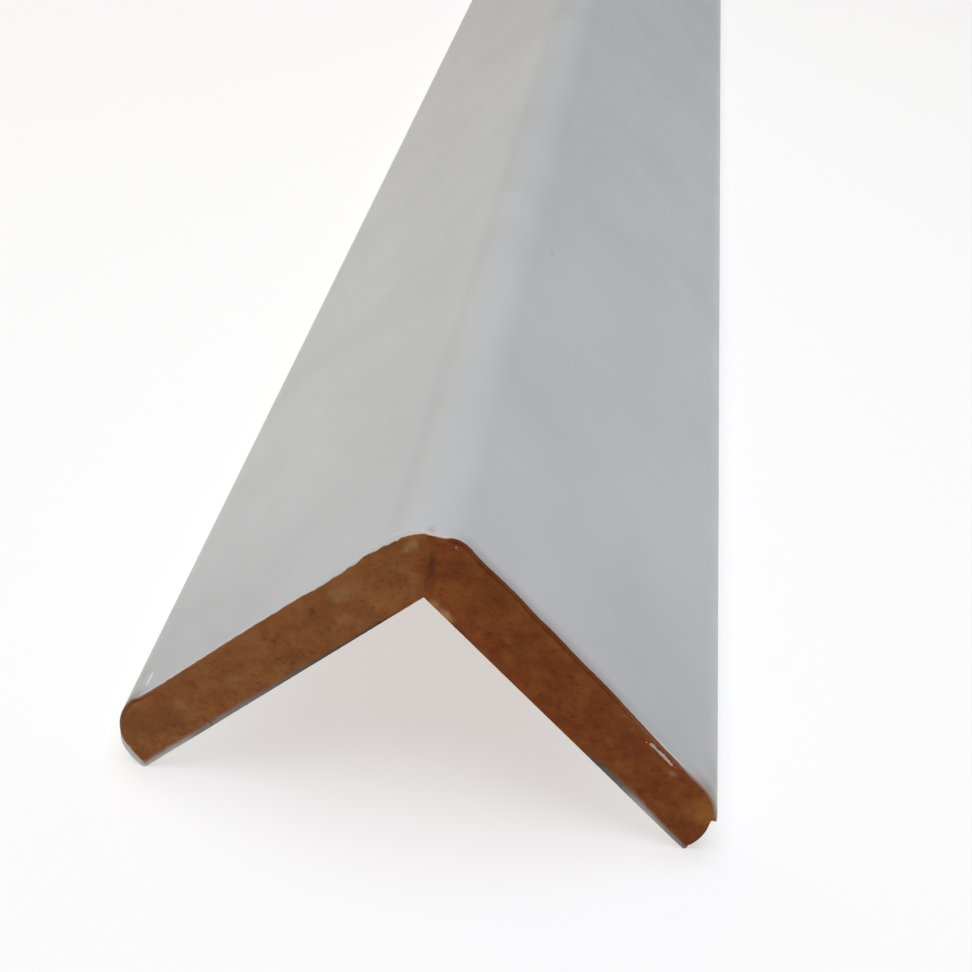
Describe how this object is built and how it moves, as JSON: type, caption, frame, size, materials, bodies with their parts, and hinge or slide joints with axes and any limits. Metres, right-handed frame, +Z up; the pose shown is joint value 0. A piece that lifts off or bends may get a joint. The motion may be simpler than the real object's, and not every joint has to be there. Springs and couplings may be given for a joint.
{
  "type": "corner moulding",
  "caption": "Right-angled outside corner moulding of mitred fibreboard wrapped in white film, with a rounded corner and rounded edges, glued over the corner of a wall.",
  "frame": {"origin": "on the surface that the moulding lies on, under the middle of its length and of its width", "axes": "+Z up, from the open back through the outer corner; +Y along the length, from the sawn end that the picture shows to the far end; +X across, from the left leg to the right leg"},
  "size_m": [0.052, 0.26, 0.0302],
  "materials": {
    "olive_brown_board": "raw fibreboard, sawn at the ends and sanded on the back",
    "red_brown_board": "raw fibreboard, sawn at the ends and sanded on the back",
    "white_film": "satin white film"
  },
  "bodies": {
    "root": {"left_board_strip": "olive_brown_board", "right_board_strip": "red_brown_board", "white_film_wrap": "white_film"}
  },
  "joints": []
}
